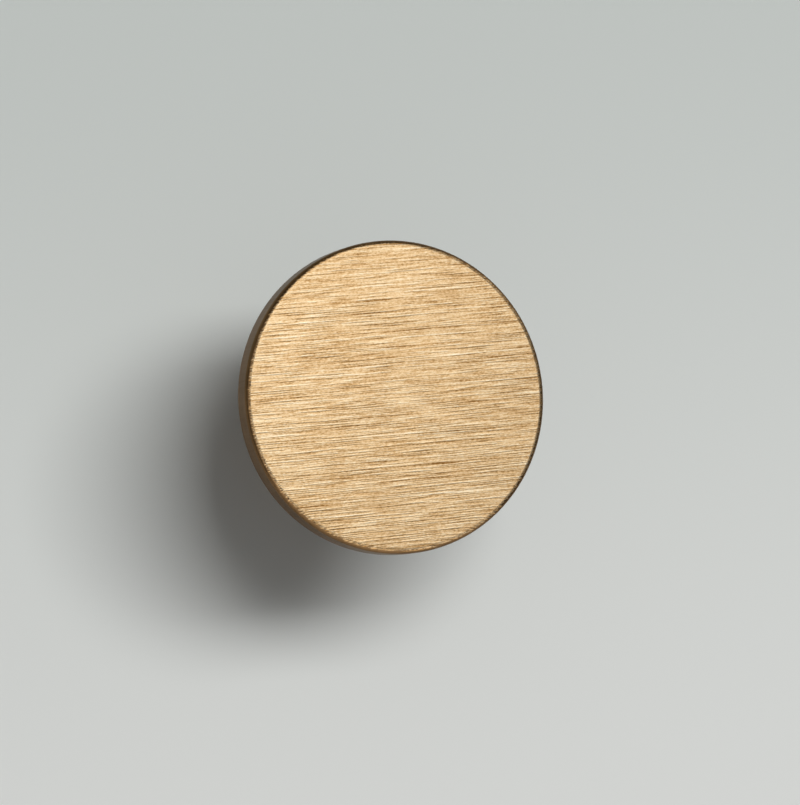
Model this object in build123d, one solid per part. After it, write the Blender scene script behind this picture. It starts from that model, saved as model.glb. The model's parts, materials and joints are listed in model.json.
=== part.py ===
"""Flat disc knob for a cabinet door or drawer front, turned in one piece from brass bar.

The axis of turning is Z, and all sizes are in millimetres. The origin is the centre of the
mounting face, which lies on z = 0 and seats against the door. The stem rises from it, and the
disc that is gripped is at the top, with its brushed face up and the brushing along X.
"""

import os
from math import radians, tan

from build123d import *

# Disc, the head that is gripped
disc_diameter = 32.0
disc_thickness = 3.0
face_edge_radius = 0.6
back_edge_radius = 0.15

# Stem, which holds the disc off the door
projection = 25.0
stem_diameter = 12.0
neck_fillet_radius = 1.0
foot_chamfer = 0.4

# Blind hole for the fixing screw, at its tap drill size, with a countersunk mouth
thread_diameter = 4.0
thread_pitch = 0.7
thread_depth = 13.0
mouth_margin = 0.25
mouth_angle = 90.0
drill_point_angle = 118.0

# Radii and heights that follow from the sizes above
disc_radius = disc_diameter / 2
stem_radius = stem_diameter / 2
disc_underside = projection - disc_thickness
tap_drill_radius = (thread_diameter - thread_pitch) / 2
mouth_radius = thread_diameter / 2 + mouth_margin
mouth_depth = (mouth_radius - tap_drill_radius) / tan(radians(mouth_angle / 2))
drill_tip = thread_depth + tap_drill_radius / tan(radians(drill_point_angle / 2))


def corner(section, radius, height):
    """The vertex of a section that lies at a given radius and height."""
    return section.vertices().sort_by_distance((radius, height))[0]


def turned_section():
    """Half of the knob's lengthwise section, as radius across and height up, with its edges broken."""
    outline = Polyline(
        (0, drill_tip),
        (tap_drill_radius, thread_depth),
        (tap_drill_radius, mouth_depth),
        (mouth_radius, 0),
        (stem_radius, 0),
        (stem_radius, disc_underside),
        (disc_radius, disc_underside),
        (disc_radius, projection),
        (0, projection),
        close=True,
    )
    section = make_face(outline)
    section = chamfer(corner(section, stem_radius, 0), foot_chamfer)
    section = fillet(corner(section, stem_radius, disc_underside), neck_fillet_radius)
    section = fillet(corner(section, disc_radius, disc_underside), back_edge_radius)
    return fillet(corner(section, disc_radius, projection), face_edge_radius)


knob = revolve(Plane.XZ * turned_section(), Axis.Z)

os.makedirs("parts", exist_ok=True)
export_step(knob, "parts/knob.step")
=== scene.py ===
"""Looks of a flat disc cabinet knob: a straight-brushed antique brass face, a satin turned edge and stem,
and the tapped hole in the stem's foot. Lengths are in metres, in the part's own frame."""

import json
from math import atan, ceil, cos, pi, radians, sin, tan, tau

import bmesh
import bpy
from mathutils import Matrix, Quaternion, Vector


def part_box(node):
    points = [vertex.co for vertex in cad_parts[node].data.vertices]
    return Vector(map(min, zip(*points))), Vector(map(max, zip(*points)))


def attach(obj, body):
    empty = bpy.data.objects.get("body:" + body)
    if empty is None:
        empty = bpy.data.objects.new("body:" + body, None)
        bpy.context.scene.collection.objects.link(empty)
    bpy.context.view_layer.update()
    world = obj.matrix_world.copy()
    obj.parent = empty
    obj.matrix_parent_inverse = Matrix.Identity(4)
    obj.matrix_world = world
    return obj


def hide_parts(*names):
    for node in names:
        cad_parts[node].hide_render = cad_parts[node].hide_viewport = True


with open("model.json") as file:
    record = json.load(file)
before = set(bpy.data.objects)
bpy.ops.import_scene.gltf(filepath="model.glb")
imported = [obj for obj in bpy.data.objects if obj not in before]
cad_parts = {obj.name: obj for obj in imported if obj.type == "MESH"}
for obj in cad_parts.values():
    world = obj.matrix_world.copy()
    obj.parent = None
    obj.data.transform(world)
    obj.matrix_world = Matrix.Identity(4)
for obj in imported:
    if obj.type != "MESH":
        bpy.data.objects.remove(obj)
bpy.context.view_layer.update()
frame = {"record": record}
knob_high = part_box("knob")[1]
screw_hole = next(m for m in frame["record"]["mounts"] if m["name"] == "screw_hole")

MM = 0.001

# Disc and stem, as the part is turned
DISC_RADIUS = knob_high.x
PROJECTION = knob_high.z
DISC_THICKNESS = 3.0 * MM
DISC_UNDERSIDE = PROJECTION - DISC_THICKNESS
FACE_EDGE_RADIUS = 0.6 * MM
BACK_EDGE_RADIUS = 0.15 * MM
STEM_RADIUS = 6.0 * MM
NECK_FILLET_RADIUS = 1.0 * MM
FOOT_CHAMFER = 0.4 * MM

# Tapped hole, with the thread that the part's solid leaves out
HOLE_RADIUS = screw_hole["dims"]["r_mm"] * MM
HOLE_END = screw_hole["pos_m"][2] + screw_hole["dims"]["length_mm"] * MM / 2
DRILL_POINT_ANGLE = radians(118)
DRILL_TIP = HOLE_END + HOLE_RADIUS / tan(DRILL_POINT_ANGLE / 2)
MOUTH_RADIUS = 2.25 * MM
THREAD_RADIUS = 2.0 * MM
THREAD_PITCH = 0.7 * MM
THREAD_CREST = THREAD_PITCH / 4
THREAD_ROOT = THREAD_PITCH / 8
THREAD_FLANK = (THREAD_PITCH - THREAD_CREST - THREAD_ROOT) / 2
THREAD_START = MOUTH_RADIUS - THREAD_RADIUS
THREAD_RUNOUT = 2 * THREAD_PITCH
THREAD_END = HOLE_END - 2 * THREAD_PITCH

# Fineness of the mesh
TURN_STEPS = 256
FACE_EDGE_SEGMENTS = 14
BACK_EDGE_SEGMENTS = 5
NECK_SEGMENTS = 10
THREAD_STEPS = 64
SHARP_ANGLE = radians(30)
MERGE_DISTANCE = 0.0005 * MM

# Turns wound below the thread's start and cut off, and the gap where it is joined to the turned parts
SPARE_TURNS = 2
JOINING_GAP = 0.12 * MM

# How close to its ends a straight run of the outline is split, and from what length
HOLDING_GAP = 0.04 * MM
LONG_RUN = 4 * HOLDING_GAP

# Strokes are noise, drawn out to a length, a width and a depth into the metal. At the first of these depths
# the face lies in one layer of the noise, which is crisp, and at the second between two, which is softer
THROUGH = 1.0
HALFWAY = 2 * PROJECTION

# All noise has the same value where it starts, so it starts off the face
STROKES_START = (0.053, 0.041, 0.0)

# Each row of strokes starts this share of a stroke further on than the row beside it
STROKES_STAGGER = 0.382

# Brushing on the face, from its grain up to strokes that cross it from side to side
GRAIN = {"size": (0.24 * MM, 0.13 * MM, HALFWAY), "turn": radians(14), "detail": 1}
SHORT_STROKES = {"size": (2.8 * MM, 0.138 * MM, THROUGH), "turn": radians(2.0)}
LONG_STROKES = {"size": (8 * MM, 0.146 * MM, THROUGH), "turn": radians(1.1)}
FULL_STROKES = {"size": (28 * MM, 0.155 * MM, THROUGH), "turn": radians(1.0)}
BRUSHED_RELIEF = 0.06 * MM

# Deep scratches and bright lines here and there on the face, in colour only: the deep ones dark with patina
# and painted shade, the bright lines painted glints. And patches where the brush pressed less
SCORES = {"size": (17 * MM, 0.2 * MM, THROUGH), "turn": radians(0.7)}
DEEP_SCORES_PATINA_AND_SHADE = (0.34, 0.24)
PAINTED_GLINT_SCORES = (0.66, 0.76)
PATCHES = {"size": (11 * MM, 3 * MM, HALFWAY)}

# How far the brushing reaches from the face's centre over its rounded edge, and how it runs out there
BRUSHED_REACH = DISC_RADIUS - 0.34 * MM
BRUSHED_FADE = 0.1 * MM
BRUSHED_RAGGEDNESS = 0.5 * MM

# Marks of the lathe and a cloudy bloom outside the face, and marks of the drill and the tap in the hole
LATHE_RINGS = {"size": (8 * MM, 8 * MM, 0.09 * MM), "detail": 2}
BLOOM = {"size": (5 * MM, 5 * MM, 4 * MM), "detail": 3}
CUTTING_RINGS = {"size": (3 * MM, 3 * MM, 0.06 * MM), "detail": 2}
CUT_RELIEF = 0.004 * MM

# Table and room
TABLE_HALF_SIZE = 10.0
# The table darkens towards the back over this reach, as painted shade where the light falls off
TABLE_PAINTED_SHADE_REACH = 60 * MM
TABLE_LIT_FRONT_COLOUR = (0.90, 0.915, 0.89, 1.0)
TABLE_PAINTED_SHADE_BACK_COLOUR = (0.655, 0.693, 0.665, 1.0)
ROOM_TONES = [(0.0, (0.06, 0.06, 0.06, 1.0)), (0.9, (0.2, 0.2, 0.2, 1.0))]

# Camera, which sees the face from the left of its axis with the brushing rising a little to the right
IMAGE_WIDTH, IMAGE_HEIGHT = 800, 805
VIEW_TILT = radians(19.1)
VIEW_HEADING = radians(187.6)
BRUSHING_RISE = radians(4.2)
VIEW_DISTANCE = 0.5
DISC_DIAMETER_PX = 314.9
FACE_CENTRE_PX = (397.0, 396.6)


def join_points(bm, points):
    """A chain of edges through points given as (radius, height), and its vertices."""
    verts = [bm.verts.new((radius, 0, height)) for radius, height in points]
    for first, second in zip(verts, verts[1:]):
        bm.edges.new((first, second))
    return verts


def round_corner(bm, vert, size, segments):
    """Rounds one corner of a chain of edges, or chamfers it if it gets one segment."""
    bmesh.ops.bevel(
        bm, geom=[vert], offset=size, offset_type="OFFSET", affect="VERTICES",
        segments=segments, profile=0.5, material=-1,
    )


def hold_straight_runs(bm):
    """Splits each long edge close to its ends, so that shading stays flat between rounded corners."""
    for edge in [e for e in bm.edges if e.calc_length() > LONG_RUN]:
        for vert in edge.verts[:]:
            bmesh.utils.edge_split(edge, vert, HOLDING_GAP / edge.calc_length())


def mark_profile_length(start, along):
    """Stores on each vertex how far along the outline it lies, for the finish to follow."""
    vert = start
    edge = start.link_edges[0]
    length = 0.0
    while edge is not None:
        length += edge.calc_length()
        vert = edge.other_vert(vert)
        vert[along] = length
        edge = next((e for e in vert.link_edges if e is not edge), None)


def spin_round(bm):
    """Turns the chains of edges in a bmesh once round the axis."""
    bmesh.ops.spin(
        bm, geom=bm.verts[:] + bm.edges[:], cent=(0, 0, 0), axis=(0, 0, 1), angle=tau,
        steps=TURN_STEPS, use_merge=True,
    )
    bmesh.ops.remove_doubles(bm, verts=bm.verts, dist=MERGE_DISTANCE)


def outside_and_drilled_end():
    """The turned outside, from the face round to the hole's mouth, and the plain end of the hole."""
    bm = bmesh.new()
    along = bm.verts.layers.float.new("profile")
    face_centre, face_edge, back_edge, neck, foot, _, _ = join_points(bm, [
        (0, PROJECTION),
        (DISC_RADIUS, PROJECTION),
        (DISC_RADIUS, DISC_UNDERSIDE),
        (STEM_RADIUS, DISC_UNDERSIDE),
        (STEM_RADIUS, 0),
        (MOUTH_RADIUS, 0),
        (MOUTH_RADIUS - JOINING_GAP, JOINING_GAP),
    ])
    round_corner(bm, face_edge, FACE_EDGE_RADIUS, FACE_EDGE_SEGMENTS)
    round_corner(bm, back_edge, BACK_EDGE_RADIUS, BACK_EDGE_SEGMENTS)
    round_corner(bm, neck, NECK_FILLET_RADIUS, NECK_SEGMENTS)
    round_corner(bm, foot, FOOT_CHAMFER, segments=1)
    hold_straight_runs(bm)
    mark_profile_length(face_centre, along)
    join_points(bm, [
        (HOLE_RADIUS, THREAD_END + JOINING_GAP),
        (HOLE_RADIUS, HOLE_END),
        (0, DRILL_TIP),
    ])
    spin_round(bm)
    return bm


def thread_turns():
    """The thread: one pitch of its outline wound up the hole, right-handed, and cut level at both ends."""
    bm = bmesh.new()
    low = THREAD_START - SPARE_TURNS * THREAD_PITCH
    turns = ceil((THREAD_END - low) / THREAD_PITCH)
    join_points(bm, [
        (HOLE_RADIUS, low),
        (HOLE_RADIUS, low + THREAD_CREST),
        (THREAD_RADIUS, low + THREAD_CREST + THREAD_FLANK),
        (THREAD_RADIUS, low + THREAD_CREST + THREAD_FLANK + THREAD_ROOT),
        (HOLE_RADIUS, low + THREAD_PITCH),
    ])
    bmesh.ops.spin(
        bm, geom=bm.verts[:] + bm.edges[:], cent=(0, 0, 0), axis=(0, 0, 1), angle=tau * turns,
        steps=THREAD_STEPS * turns, dvec=(0, 0, THREAD_PITCH / THREAD_STEPS),
    )
    bmesh.ops.remove_doubles(bm, verts=bm.verts, dist=MERGE_DISTANCE)
    for height, cut_away in ((THREAD_START, -1), (THREAD_END, 1)):
        bmesh.ops.bisect_plane(
            bm, geom=bm.verts[:] + bm.edges[:] + bm.faces[:], dist=MERGE_DISTANCE,
            plane_co=(0, 0, height), plane_no=(0, 0, cut_away), clear_outer=True,
        )
    ease_thread_ends(bm)
    return bm


def ease_thread_ends(bm):
    """Opens the first turns to the countersunk mouth, and runs the last ones out into the drilled wall."""
    for vert in bm.verts:
        cut = min(1, (THREAD_END - vert.co.z) / THREAD_RUNOUT)
        radius = HOLE_RADIUS + cut * (vert.co.xy.length - HOLE_RADIUS)
        radius = max(radius, MOUTH_RADIUS - vert.co.z)
        vert.co.xy = radius * vert.co.xy.normalized()


def open_ring(bm, height):
    """The open edges that lie at a given height."""
    return [
        e for e in bm.edges
        if e.is_boundary and all(abs(v.co.z - height) < MERGE_DISTANCE for v in e.verts)
    ]


def add_bmesh(bm, other):
    """Adds the other bmesh to this one."""
    carrier = bpy.data.meshes.new("carrier")
    other.to_mesh(carrier)
    other.free()
    bm.from_mesh(carrier)
    bpy.data.meshes.remove(carrier)


def make_object(name, bm, *finishes):
    """An object with a bmesh as its mesh, and its finishes in order."""
    mesh = bpy.data.meshes.new(name)
    bm.to_mesh(mesh)
    bm.free()
    for finish in finishes:
        mesh.materials.append(finish)
    made = bpy.data.objects.new(name, mesh)
    bpy.context.scene.collection.objects.link(made)
    return made


def turned_knob(outside_finish, hole_finish):
    """The whole knob as one closed mesh, with the hole in a finish of its own."""
    bm = outside_and_drilled_end()
    add_bmesh(bm, thread_turns())
    bmesh.ops.bridge_loops(bm, edges=open_ring(bm, JOINING_GAP) + open_ring(bm, THREAD_START))
    bmesh.ops.bridge_loops(bm, edges=open_ring(bm, THREAD_END) + open_ring(bm, THREAD_END + JOINING_GAP))
    bmesh.ops.recalc_face_normals(bm, faces=bm.faces)
    for edge in bm.edges:
        edge.smooth = edge.calc_face_angle(0) < SHARP_ANGLE
    for face in bm.faces:
        centre = face.calc_center_median()
        face.smooth = True
        face.material_index = int(centre.xy.length < MOUTH_RADIUS and centre.z < DRILL_TIP)
    return make_object("turned_knob", bm, outside_finish, hole_finish)


def feed(tree, node, inputs):
    """Gives each input of a node a link if its value is a socket, and otherwise the value."""
    for name, value in inputs.items():
        if isinstance(value, bpy.types.NodeSocket):
            tree.links.new(value, node.inputs[name])
        else:
            node.inputs[name].default_value = value


def put(tree, kind, inputs, **settings):
    """Adds a node with its settings and inputs."""
    node = tree.nodes.new(kind)
    for name, value in settings.items():
        setattr(node, name, value)
    feed(tree, node, inputs)
    return node


def add_up(tree, *shares, base=0.0):
    """Adds marks to a base, each times its own share."""
    total = base
    for share, mark in shares:
        inputs = {0: mark, 1: share, 2: total}
        total = put(tree, "ShaderNodeMath", inputs, operation="MULTIPLY_ADD").outputs["Value"]
    return total


def fade(tree, value, start, end, low=0.0, high=1.0):
    """Goes smoothly from low to high as a value goes from start to end."""
    inputs = {"Value": value, "From Min": start, "From Max": end, "To Min": low, "To Max": high}
    return put(tree, "ShaderNodeMapRange", inputs, interpolation_type="SMOOTHSTEP").outputs["Result"]


def mix_colours(tree, share, first, second):
    """Mixes two colours by a share of the second one. The node has its colours at sockets 6 and 7."""
    return put(tree, "ShaderNodeMix", {0: share, 6: first, 7: second}, data_type="RGBA").outputs[2]


def mix_heights(tree, share, first, second):
    """Mixes two heights by a share of the second one. The node has its numbers at sockets 2 and 3."""
    return put(tree, "ShaderNodeMix", {0: share, 2: first, 3: second}, data_type="FLOAT").outputs[0]


def tone_scale(tree, share, tones):
    """A colour ramp through tones given as (place, colour). A new ramp already has two of them."""
    node = put(tree, "ShaderNodeValToRGB", {"Fac": share})
    elements = node.color_ramp.elements
    for place, _ in tones[2:]:
        elements.new(place)
    for element, (place, colour) in zip(elements, tones):
        element.position = place
        element.color = colour
    return node.outputs["Color"]


def bumps(tree, height, distance):
    """The normal of a surface that marks raise by up to a distance."""
    inputs = {"Strength": 1.0, "Distance": distance, "Height": height}
    return put(tree, "ShaderNodeBump", inputs).outputs["Normal"]


def make_strokes_group():
    """Marks of a brush or a cutting tool: noise drawn out to a stroke's size and turned by an angle."""
    tree = bpy.data.node_groups.new("strokes", "ShaderNodeTree")
    for name in ("Place", "Stroke Size"):
        tree.interface.new_socket(name, in_out="INPUT", socket_type="NodeSocketVector")
    for name in ("Turn", "Detail"):
        tree.interface.new_socket(name, in_out="INPUT", socket_type="NodeSocketFloat")
    tree.interface.new_socket("Height", in_out="OUTPUT", socket_type="NodeSocketFloat")
    given = tree.nodes.new("NodeGroupInput").outputs
    turn = put(tree, "ShaderNodeCombineXYZ", {"Z": given["Turn"]})
    spread = put(tree, "ShaderNodeMapping", {
        "Vector": given["Place"], "Location": STROKES_START,
        "Rotation": turn.outputs["Vector"], "Scale": given["Stroke Size"],
    }, vector_type="TEXTURE")
    rows = put(tree, "ShaderNodeSeparateXYZ", {"Vector": spread.outputs["Vector"]}).outputs
    along = add_up(tree, (STROKES_STAGGER, rows["Y"]), base=rows["X"])
    staggered = put(tree, "ShaderNodeCombineXYZ", {"X": along, "Y": rows["Y"], "Z": rows["Z"]})
    noise = put(tree, "ShaderNodeTexNoise", {
        "Vector": staggered.outputs["Vector"], "Scale": 1.0, "Detail": given["Detail"], "Roughness": 0.6,
    })
    put(tree, "NodeGroupOutput", {"Height": noise.outputs["Fac"]})


def strokes(tree, place, size, turn=0.0, detail=0.0):
    """The height of strokes of a given length, width and depth on the surface."""
    inputs = {"Place": place, "Stroke Size": size, "Turn": turn, "Detail": detail}
    group = bpy.data.node_groups["strokes"]
    return put(tree, "ShaderNodeGroup", inputs, node_tree=group).outputs["Height"]


def new_material(name):
    """A material with its tree, its shader and its Object coordinates."""
    material = bpy.data.materials.new(name)
    material.use_nodes = True
    tree = material.node_tree
    shader = tree.nodes["Principled BSDF"]
    place = tree.nodes.new("ShaderNodeTexCoord").outputs["Object"]
    return material, tree, shader, place


def srgb(red, green, blue):
    """A colour given as screen values, in the linear form that nodes take."""
    linear = [((v / 255 + 0.055) / 1.055) ** 2.4 for v in (red, green, blue)]
    return (*linear, 1.0)


def brushed_antique_brass():
    """Brass with a dark antique finish, which brushing has cut through to the bare metal on the face."""
    material, tree, shader, place = new_material("brushed_antique_brass")
    profile = put(tree, "ShaderNodeAttribute", {}, attribute_name="profile").outputs["Fac"]

    # The brushed face. Its strokes are bumps, and tones in the colour that are partly patina kept in the
    # grooves and partly painted highlight and shade of the brush lines
    grain = strokes(tree, place, **GRAIN)
    short_ones = strokes(tree, place, **SHORT_STROKES)
    long_ones = strokes(tree, place, **LONG_STROKES)
    full_ones = strokes(tree, place, **FULL_STROKES)
    relief = add_up(tree, (0.08, grain), (0.43, short_ones), (0.34, long_ones), (0.15, full_ones))
    scores = strokes(tree, place, **SCORES)
    # Dark scratch lines: patina and painted shade. Bright lines: painted glints, with no bump under them
    patina_and_painted_shade = fade(tree, scores, *DEEP_SCORES_PATINA_AND_SHADE)
    painted_glints = fade(tree, scores, *PAINTED_GLINT_SCORES)
    patches = strokes(tree, place, **PATCHES)
    tone = add_up(tree, (0.7, relief), (0.36, grain), (0.05, patches), (-0.1, patina_and_painted_shade), (0.1, painted_glints))
    # The pale tones are partly painted highlight, and the dark tones partly painted shade
    face_colour_with_painted_light = tone_scale(tree, tone, [
        (0.335, srgb(144, 99, 47)),
        (0.455, srgb(196, 155, 103)),
        (0.555, srgb(225, 190, 142)),
        (0.655, srgb(239, 212, 170)),
        (0.775, srgb(250, 234, 203)),
    ])

    # The turned edge, back and stem, where marks run round the axis at each place along the outline
    parts = put(tree, "ShaderNodeSeparateXYZ", {"Vector": place}).outputs
    turned = put(tree, "ShaderNodeCombineXYZ", {"X": parts["X"], "Y": parts["Y"], "Z": profile})
    turned_place = turned.outputs["Vector"]
    rings = strokes(tree, turned_place, **LATHE_RINGS)
    bloom = strokes(tree, turned_place, **BLOOM)
    turned_relief = add_up(tree, (0.02, rings), base=0.49)
    turned_colour = tone_scale(tree, add_up(tree, (0.5, rings), (0.5, bloom)), [
        (0.3, srgb(92, 69, 43)),
        (0.5, srgb(115, 88, 58)),
        (0.7, srgb(134, 104, 70)),
    ])

    # The brushing runs out raggedly over the edge of the face
    ragged = add_up(
        tree, (1.0, profile), (BRUSHED_RAGGEDNESS, short_ones), (BRUSHED_RAGGEDNESS, grain),
        base=-BRUSHED_RAGGEDNESS,
    )
    brushed = fade(tree, ragged, BRUSHED_REACH + BRUSHED_FADE, BRUSHED_REACH - BRUSHED_FADE)
    feed(tree, shader, {
        "Base Color": mix_colours(tree, brushed, turned_colour, face_colour_with_painted_light),
        "Metallic": 1.0,
        "Roughness": add_up(tree, (-0.2, relief), base=0.42),
        "Specular Tint": (0.72, 0.70, 0.68, 1.0),
        "Normal": bumps(tree, mix_heights(tree, brushed, turned_relief, relief), BRUSHED_RELIEF),
    })
    return material


def freshly_cut_brass():
    """Bare brass in the tapped hole, with the marks of the drill and the tap."""
    material, tree, shader, place = new_material("freshly_cut_brass")
    rings = strokes(tree, place, **CUTTING_RINGS)
    feed(tree, shader, {
        "Base Color": tone_scale(tree, rings, [
            (0.3, srgb(176, 136, 78)),
            (0.7, srgb(222, 186, 122)),
        ]),
        "Metallic": 1.0,
        "Roughness": fade(tree, rings, 0.3, 0.7, low=0.25, high=0.4),
        "Normal": bumps(tree, rings, CUT_RELIEF),
    })
    return material


def pale_table():
    """A pale grey matt table top, a little darker towards the back: painted shade where the light falls off.
    """
    material, tree, shader, place = new_material("pale_table")
    back = put(tree, "ShaderNodeSeparateXYZ", {"Vector": place}).outputs["Y"]
    # Painted shade: the table gets darker towards the back, where the light falls off
    painted_shade_share = fade(tree, back, -TABLE_PAINTED_SHADE_REACH, TABLE_PAINTED_SHADE_REACH)
    feed(tree, shader, {
        "Base Color": mix_colours(tree, painted_shade_share, TABLE_LIT_FRONT_COLOUR, TABLE_PAINTED_SHADE_BACK_COLOUR),
        "Roughness": 0.65,
        "Specular IOR Level": 0.2,
    })
    return material


def table():
    """A wide level table top, on which the knob stands."""
    bm = bmesh.new()
    bmesh.ops.create_grid(bm, x_segments=1, y_segments=1, size=TABLE_HALF_SIZE)
    piece = make_object("table", bm, pale_table())


def soft_lamp(name, low, high, brightness, faces=(0, 0, -1)):
    """A rectangular lamp between two corners, as bright as a paper-white surface in plain light at 1."""
    low, high, faces = Vector(low), Vector(high), Vector(faces)
    turn = (-faces).to_track_quat("Z", "Y").to_matrix()
    size = turn.transposed() @ (high - low)
    data = bpy.data.lights.new(name, "AREA")
    data.shape = "RECTANGLE"
    data.size = abs(size.x)
    data.size_y = abs(size.y)
    data.energy = brightness * pi * data.size * data.size_y
    lamp = bpy.data.objects.new(name, data)
    lamp.matrix_world = Matrix.Translation((low + high) / 2) @ turn.to_4x4()
    lamp.visible_camera = False
    bpy.context.scene.collection.objects.link(lamp)
    return lamp


def lights():
    """A lamp that lights the table, sheets of light for the metal to mirror, and a dim room."""
    overhead = soft_lamp("overhead", (-0.2, 0.2, 1.2), (0.86, 0.56, 1.2), 10.0)
    overhead.visible_glossy = False
    sheets = [
        soft_lamp("sheet_above", (-0.054, -0.027, 0.225), (0.115, 0.36, 0.225), 1.25),
        soft_lamp("sheet_in_front", (-0.5, -0.4, 0.02), (0.45, -0.4, 0.65), 1.2, faces=(0, 1, 0)),
        soft_lamp("sheet_behind", (0.36, 0.4, 0.05), (1.1, 0.4, 0.4), 1.1, faces=(0, -1, 0)),
        soft_lamp("sheet_on_the_left", (-0.4, -0.45, 0.2), (-0.4, 0.33, 0.75), 0.85, faces=(1, 0, 0)),
    ]
    for sheet in sheets:
        sheet.visible_diffuse = False
    world = bpy.data.worlds.new("room")
    world.use_nodes = True
    tree = world.node_tree
    direction = tree.nodes.new("ShaderNodeTexCoord").outputs["Generated"]
    height = put(tree, "ShaderNodeSeparateXYZ", {"Vector": direction}).outputs["Z"]
    feed(tree, tree.nodes["Background"], {"Color": tone_scale(tree, height, ROOM_TONES)})
    bpy.context.scene.world = world


def camera():
    """A camera at the photograph's angle to the face, framed by the disc's size and place in the picture."""
    scale = 2 * DISC_RADIUS / DISC_DIAMETER_PX
    sideways = sin(VIEW_TILT)
    back = Vector((sideways * cos(VIEW_HEADING), sideways * sin(VIEW_HEADING), cos(VIEW_TILT)))
    brushing = Vector((1, 0, 0))
    brushing_in_view = (brushing - brushing.dot(back) * back).normalized()
    right = Quaternion(back, -BRUSHING_RISE) @ brushing_in_view
    up = back.cross(right)
    off_right = (IMAGE_WIDTH / 2 - FACE_CENTRE_PX[0]) * scale
    off_up = (FACE_CENTRE_PX[1] - IMAGE_HEIGHT / 2) * scale
    aim = Vector((0, 0, PROJECTION)) + off_right * right + off_up * up
    data = bpy.data.cameras.new("camera")
    data.sensor_fit = "HORIZONTAL"
    data.angle = 2 * atan(IMAGE_WIDTH / 2 * scale / VIEW_DISTANCE)
    made = bpy.data.objects.new("camera", data)
    turn = Matrix((right, up, back)).transposed().to_4x4()
    made.matrix_world = Matrix.Translation(aim + VIEW_DISTANCE * back) @ turn
    bpy.context.scene.collection.objects.link(made)
    bpy.context.scene.camera = made


bpy.context.scene.view_settings.view_transform = "Standard"
make_strokes_group()
knob = turned_knob(brushed_antique_brass(), freshly_cut_brass())
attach(knob, "root")
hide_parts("knob")
table()
lights()
camera()
